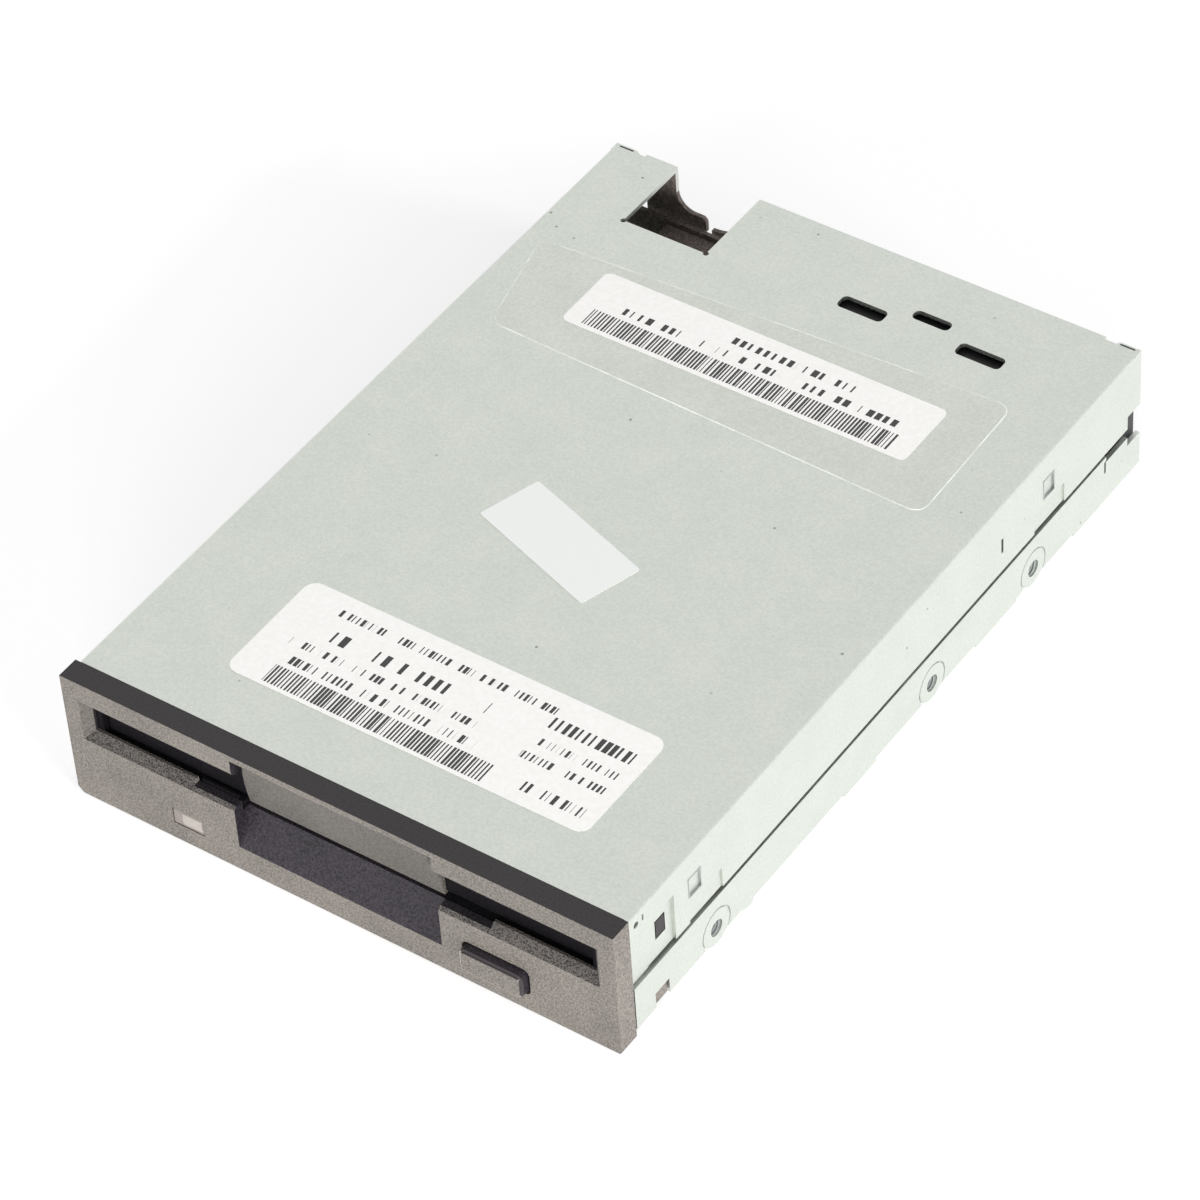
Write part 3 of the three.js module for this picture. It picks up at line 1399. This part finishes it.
function lathe(profile) {
  const geometry = new THREE.LatheGeometry(
    profile.map(([radius, height]) => new THREE.Vector2(radius, height)), wideRound);
  geometry.rotateX(quarterTurn);
  const body = solid(geometry);
  return (body.volume() > 0 ? body : solid(flipped(mergeVertices(bareCopy(geometry)))))
    .translate([0, spindleY, 0]);
}

function bareCopy(geometry) {
  const bare = new THREE.BufferGeometry();
  bare.setAttribute('position', geometry.getAttribute('position'));
  bare.setIndex(geometry.index);
  return bare;
}

function rotorCup() {
  const bore = shaftRadius + shaftGap;
  return lathe([
    [bore, rotorTop - rotorRoof],
    [rotorRadius - rotorWall, rotorTop - rotorRoof],
    [rotorRadius - rotorWall, rotorFoot],
    [rotorRadius, rotorFoot],
    [rotorRadius, rotorTop],
    [bore, rotorTop],
    [bore, rotorTop - rotorRoof],
  ]);
}

function magnetRing() {
  return tube('z', 0, spindleY, rotorRadius - rotorWall - fitGap,
    rotorRadius - rotorWall - fitGap - magnetThickness, magnetFoot, magnetTop, wideRound);
}

const hubTop = rotorTop + hubThickness;

function spindleHub() {
  return lathe([
    [0, shaftFoot],
    [shaftRadius, shaftFoot],
    [shaftRadius, rotorTop],
    [hubRadius, rotorTop],
    [hubRadius, hubTop],
    [shaftRadius, hubTop],
    [shaftRadius, shaftTop],
    [0, shaftTop],
    [0, shaftFoot],
  ]);
}

function drivePin() {
  return bar('z', drivePinOffset, spindleY, drivePinRadius, hubTop, hubTop + drivePinHeight, smallRound);
}

// Head carriage: a moulded block on two rods and the lead screw, with a tongue under the lower head
function headCarriage() {
  const front = headY + carriageFrontOffset;
  const rear = headY + carriageRearOffset;
  const axisY = headY + armAxisOffset;
  const main = block(carriageLeft, carriageRight, front, rear, carriageBottom, carriageTop);
  const tongue = block(-tongueHalfWidth, tongueHalfWidth, headY - tongueFrontOffset,
    headY + tongueRearOffset, carriageTop - sheet, tongueTop);
  const ear = block(armHalfWidth + seatGap, armHalfWidth + seatGap + armEarThickness,
    axisY - armEarHalfDepth, rear, carriageTop - sheet, armAxisZ + armEarHalfDepth);
  const hollow = block(-tongueHalfWidth, tongueHalfWidth, front + armEarHalfDepth, rear - armEarHalfDepth,
    carriageBottom - overrun, carriageTop - armThickness);
  const run = (x, radius) => bar('y', x, rodZ, radius + runGap, front - overrun, rear + overrun);
  const pinHole = bar('x', axisY, armAxisZ, armPinRadius + fitGap, -carriageRight, carriageRight);
  const body = join([main, tongue, bothSides(ear)]);
  return cut(body, [hollow, run(mainRodX, mainRodRadius), run(screwX, leadScrewRadius),
    run(subRodX, subRodRadius), pinHole]);
}

function lowerHead() {
  return block(-headPadHalf, headPadHalf, headY - headPadHalf, headY + headPadHalf,
    tongueTop, tongueTop + headPadHeight);
}

// Head arm in its lowered place; a group then lifts it about the pivot pin
const armAxisY = headY + armAxisOffset;
const armBottom = armAxisZ - armThickness / 2;
const armTop = armAxisZ + armThickness / 2;

function headArm() {
  const beam = block(-armHalfWidth, armHalfWidth, headY - tongueFrontOffset, armAxisY + armThickness / 2,
    armBottom, armTop);
  const window = block(-armHalfWidth / 2, armHalfWidth / 2, headY + tongueFrontOffset,
    armAxisY - tongueFrontOffset, armBottom - overrun, armTop + overrun);
  const tabFront = headY + armTabOffset - armTabDepth / 2;
  const riser = block(armHalfWidth - armThickness, armHalfWidth, tabFront, tabFront + armTabDepth,
    armBottom, armTabBottom + armTabThickness);
  const tab = block(armHalfWidth - armThickness, armTabRight, tabFront, tabFront + armTabDepth,
    armTabBottom, armTabBottom + armTabThickness);
  const hole = bar('x', armAxisY, armAxisZ, armPinRadius + fitGap,
    -armHalfWidth - overrun, armHalfWidth + overrun);
  const body = join([beam, riser, tab]);
  return cut(body, [window, hole]);
}

function upperHead() {
  const bottom = tongueTop + headPadHeight + upperPadGap;
  return block(-headPadHalf, headPadHalf, headY - headPadHalf, headY + headPadHalf, bottom, armBottom);
}

function armPin() {
  const half = armHalfWidth + seatGap + armEarThickness;
  return bar('x', armAxisY, armAxisZ, armPinRadius, -half, half);
}

// Stepper motor with its bracket and lead screw
const bracketRear = bracketY + sheet;

function guideRod(x, radius) {
  return bar('y', x, rodZ, radius, rodTabY - sheet, bracketRear);
}

function leadScrew() {
  return bar('y', screwX, rodZ, leadScrewRadius, rodTabY - sheet, bracketRear - fitGap);
}

function stepperMotor() {
  const can = bar('y', screwX, rodZ, stepperRadius, bracketRear, bracketRear + stepperLength,
    wideRound);
  return can;
}

function stepperBracket() {
  const lower = block(bracketInnerLeft, bracketInnerRight, bracketY, bracketRear, bracketFoot, bracketShoulder);
  const upper = block(bracketLeft, bracketRight, bracketY, bracketRear, deckTop, bracketShoulder);
  const crown = block(screwX - stepperRadius, screwX + stepperRadius, bracketY, bracketRear,
    deckTop, bracketTop);
  const feet = bracketScrews.map((place) => block(
    place.x - bracketFootWidth / 2, place.x + bracketFootWidth / 2,
    bracketY - bracketFootDepth, bracketRear, deckTop, deckTop + sheet));
  const holes = [
    bar('y', mainRodX, rodZ, mainRodRadius + fitGap, bracketY - overrun, bracketRear + overrun),
    bar('y', subRodX, rodZ, subRodRadius + fitGap, bracketY - overrun, bracketRear + overrun),
    bar('y', screwX, rodZ, leadScrewRadius + runGap, bracketY - overrun, bracketRear + overrun),
    block(-bracketWindowHalf, bracketWindowHalf, bracketY - overrun, bracketRear + overrun,
      0, bracketWindowTop),
    ...bracketScrews.map((place) => bar(
      'z', place.x, place.y, screwRadius + fitGap, deckTop - overrun, deckTop + sheet + overrun)),
  ];
  return cut(join([lower, upper, crown, ...feet]), holes);
}

// Main board with a cut-out for the stepper motor
function mainBoard() {
  const board = block(-mainBoardHalfWidth, mainBoardHalfWidth, mainBoardFront, mainBoardRear,
    mainBoardBottom, mainBoardTop);
  const stepperCut = block(stepperCutLeft, stepperCutRight, stepperCutFront, stepperCutRear,
    mainBoardBottom - overrun, mainBoardTop + overrun);
  return cut(board, [stepperCut, ...boardHoles(mainScrews, mainBoardBottom, mainBoardTop)]);
}

// Controller chip: a square body on the underside of the board, its legs joined under it
function controllerChip() {
  const body = block(chipX - chipHalf, chipX + chipHalf, chipY - chipHalf, chipY + chipHalf,
    mainBoardBottom - chipThickness, mainBoardBottom);
  const legs = [];
  for (let index = 0; index < chipLegCount; index += 1) {
    const offset = (index - (chipLegCount - 1) / 2) * chipLegPitch;
    const reach = chipHalf + chipLegReach;
    const low = mainBoardBottom - chipLegThickness;
    legs.push(block(chipX + offset - chipLegWidth / 2, chipX + offset + chipLegWidth / 2,
      chipY - reach, chipY + reach, low, mainBoardBottom));
    legs.push(block(chipX - reach, chipX + reach,
      chipY + offset - chipLegWidth / 2, chipY + offset + chipLegWidth / 2, low, mainBoardBottom));
  }
  return join([body, ...legs]);
}

function trackSensor() {
  const body = block(trackSensorX - trackSensorHalf, trackSensorX + trackSensorHalf,
    trackSensorY - trackSensorHalf, trackSensorY + trackSensorHalf,
    mainBoardTop, mainBoardTop + trackSensorHeight);
  return body.subtract(block(
    trackSensorX - trackSensorGap / 2, trackSensorX + trackSensorGap / 2,
    trackSensorY - trackSensorHalf - overrun, trackSensorY + trackSensorHalf + overrun,
    mainBoardTop + sheet, mainBoardTop + trackSensorHeight + overrun));
}

// Data connector: a shrouded header open to the rear, with a key slot, and its two rows of pins
const dataCentreX = (dataLeft + dataRight) / 2;
const dataCentreZ = (mainBoardTop + dataTop) / 2;
const pinRows = [dataCentreZ - pinPitch / 2, dataCentreZ + pinPitch / 2];
const pinSpan = ((pinColumns - 1) * pinPitch) / 2 + pinHalf;

function dataConnector() {
  const body = block(dataLeft, dataRight, dataFront, dataRear, mainBoardTop, dataTop);
  const cavity = block(dataLeft + dataWall, dataRight - dataWall, dataFront + dataBack, dataRear + overrun,
    mainBoardTop + dataWall, dataTop - dataWall);
  const key = block(dataCentreX - keyHalfWidth, dataCentreX + keyHalfWidth, dataFront + dataBack,
    dataRear + overrun, dataTop - dataWall - overrun, dataTop + overrun);
  const pinSlots = pinRows.map((z) => block(
    dataCentreX - pinSpan - fitGap, dataCentreX + pinSpan + fitGap, dataFront - overrun,
    dataFront + dataBack + overrun, z - pinHalf - fitGap, z + pinHalf + fitGap));
  return cut(body, [cavity, key, ...pinSlots]);
}

function pinComb(centreX, rows, count, pitch, top) {
  const half = ((count - 1) * pitch) / 2 + pinHalf;
  const backRear = dataFront - fitGap;
  const comb = block(centreX - half, centreX + half, backRear - pinBarThickness, backRear,
    mainBoardTop, top);
  const pins = rows.flatMap((z) => Array.from({ length: count }, (_, index) => {
    const x = centreX + (index - (count - 1) / 2) * pitch;
    return block(x - pinHalf, x + pinHalf, backRear - pinBarThickness, dataRear - pinEndGap,
      z - pinHalf, z + pinHalf);
  }));
  return join([comb, ...pins]);
}

// Power connector: a cream wafer with four pins
const powerCentreX = (powerLeft + powerRight) / 2;
const powerPinZ = (mainBoardTop + powerTop) / 2;
const powerSpan = ((powerPinCount - 1) * powerPinPitch) / 2 + pinHalf;

function powerConnector() {
  const body = block(powerLeft, powerRight, dataFront, dataRear, mainBoardTop, powerTop);
  const cavity = block(powerLeft + powerWall, powerRight - powerWall, dataFront + dataBack,
    dataRear + overrun, mainBoardTop + powerWall, powerTop - powerWall);
  const latch = block(powerCentreX - keyHalfWidth, powerCentreX + keyHalfWidth, dataFront + dataBack,
    dataRear + overrun, powerTop - powerWall - overrun, powerTop + overrun);
  const pinSlot = block(powerCentreX - powerSpan - fitGap, powerCentreX + powerSpan + fitGap,
    dataFront - overrun, dataFront + dataBack + overrun,
    powerPinZ - pinHalf - fitGap, powerPinZ + pinHalf + fitGap);
  return cut(body, [cavity, latch, pinSlot]);
}

// Head flex: a thin film from a plug on the main board up to the back of the carriage
function headFlex() {
  const start = headY + carriageRearOffset + fitGap;
  const end = bracketRear + flexPlugDepth;
  const high = bracketWindowTop - flexDrop / 2;
  const film = extrude(polygon([
    [start, high],
    [bracketRear + overrun / 2, high],
    [end, mainBoardTop + flexDrop],
    [end, mainBoardTop + flexDrop - flexThickness],
    [bracketRear + overrun / 2, high - flexThickness],
    [start, high - flexThickness],
  ]), 'x', -flexHalfWidth, flexHalfWidth);
  const plug = block(-flexHalfWidth, flexHalfWidth, end - flexThickness, end + flexPlugDepth,
    mainBoardTop, mainBoardTop + flexDrop);
  return join([film, plug]);
}

// All pieces in their places
piece('front_bezel', frontBezel(), darkAbs);
piece('door_flap', doorFlap(), blackPlastic);
piece('door_bulge', doorBulge(), darkAbs);
piece('door_spring', doorSpring(), springSteel);
piece('led_lens', lens(), lensPlastic);
piece('led', led(), lensPlastic);
piece('eject_button', ejectButton(), darkAbs);
piece('slide_plate', slidePlate(), brightSteel);
piece('eject_spring_right', ejectSpring(), springSteel);
piece('eject_spring_left', ejectSpring().translate([-2 * springX, 0, 0]), springSteel);
piece('chassis', chassis(), zincSheet);
piece('top_cover', topCover(), zincSheet);
label('label_rear', [rearLabelX, rearLabelY], [rearLabelWidth, rearLabelDepth], labelRound, 0,
  whiteLabel);
label('label_middle', [middleLabelX, middleLabelY], [middleLabelWidth, middleLabelDepth],
  middleLabelRound, middleLabelDegrees, silverLabel);
label('label_front', [frontLabelX, frontLabelY], [frontLabelWidth, frontLabelDepth], labelRound, 0,
  whiteLabel);
piece('disk_cage', diskCage(), brightSteel);
piece('shutter_lever', shutterLever(), brightSteel);
piece('lever_spring', leverSpring(), springSteel);
piece('sensor_board', sensorBoard(), greenBoard);
piece('sensor_board_screw', screw(sensorScrew, sensorBoardBottom), brightSteel);
piece('write_protect_switch', switchBody(writeSwitchX, sensorBoardTop), blackPlastic);
piece('disk_in_switch', switchBody(diskSwitchX, sensorBoardTop), blackPlastic);
piece('density_switch', switchBody(densitySwitchX, sensorBoardTop), blackPlastic);
piece('write_protect_plunger', plunger(writeSwitchX), creamPlastic);
piece('disk_in_plunger', plunger(diskSwitchX), creamPlastic);
piece('density_plunger', plunger(densitySwitchX), creamPlastic);
piece('motor_board', motorBoard(), brownBoard);
motorScrews.forEach((place, index) => {
  piece(`motor_board_screw_${index + 1}`, screw(place, motorBoardBottom), brightSteel);
});
piece('bearing_sleeve', bearingSleeve(), goldPlate);
piece('stator_core', statorCore(), brightSteel);
piece('stator_coils', statorCoils(), copperWire);
piece('rotor_cup', rotorCup(), zincSheet);
piece('magnet_ring', magnetRing(), magnetBlack);
piece('spindle_hub', spindleHub(), brightSteel);
piece('drive_pin', drivePin(), brightSteel);
piece('head_carriage', headCarriage(), carriagePlastic);
piece('lower_head', lowerHead(), ceramic);
piece('arm_pivot_pin', armPin(), brightSteel);

const liftedArm = new THREE.Group();
liftedArm.position.set(0, armAxisY, armAxisZ);
liftedArm.rotation.x = -armLiftDegrees * radians;
drive.add(liftedArm);
piece('head_arm', headArm().translate([0, -armAxisY, -armAxisZ]), carriagePlastic, liftedArm);
piece('upper_head', upperHead().translate([0, -armAxisY, -armAxisZ]), ceramic, liftedArm);

piece('guide_rod_main', guideRod(mainRodX, mainRodRadius), brightSteel);
piece('guide_rod_sub', guideRod(subRodX, subRodRadius), brightSteel);
piece('lead_screw', leadScrew(), brightSteel);
piece('stepper_motor', stepperMotor(), zincSheet);
piece('stepper_bracket', stepperBracket(), brightSteel);
bracketScrews.forEach((place, index) => {
  piece(`bracket_screw_${index + 1}`, screw(place, deckTop + sheet, -1), brightSteel);
});
piece('main_board', mainBoard(), greenBoard);
mainScrews.forEach((place, index) => {
  piece(`main_board_screw_${index + 1}`, screw(place, mainBoardBottom), brightSteel);
});
piece('controller_chip', controllerChip(), blackPlastic);
piece('track_sensor', trackSensor(), blackPlastic);
piece('head_flex', headFlex(), flexFilm);
piece('data_connector', dataConnector(), blackPlastic);
piece('data_pins', pinComb(dataCentreX, pinRows, pinColumns, pinPitch,
  pinRows[1] + pinHalf), goldPlate);
piece('power_connector', powerConnector(), creamPlastic);
piece('power_pins', pinComb(powerCentreX, [powerPinZ], powerPinCount, powerPinPitch,
  powerPinZ + pinHalf), goldPlate);

// The origin is the centre of the bottom of the drive's bounding box
drive.position.y = -(dataRear - buttonProud) / 2;

export default drive;
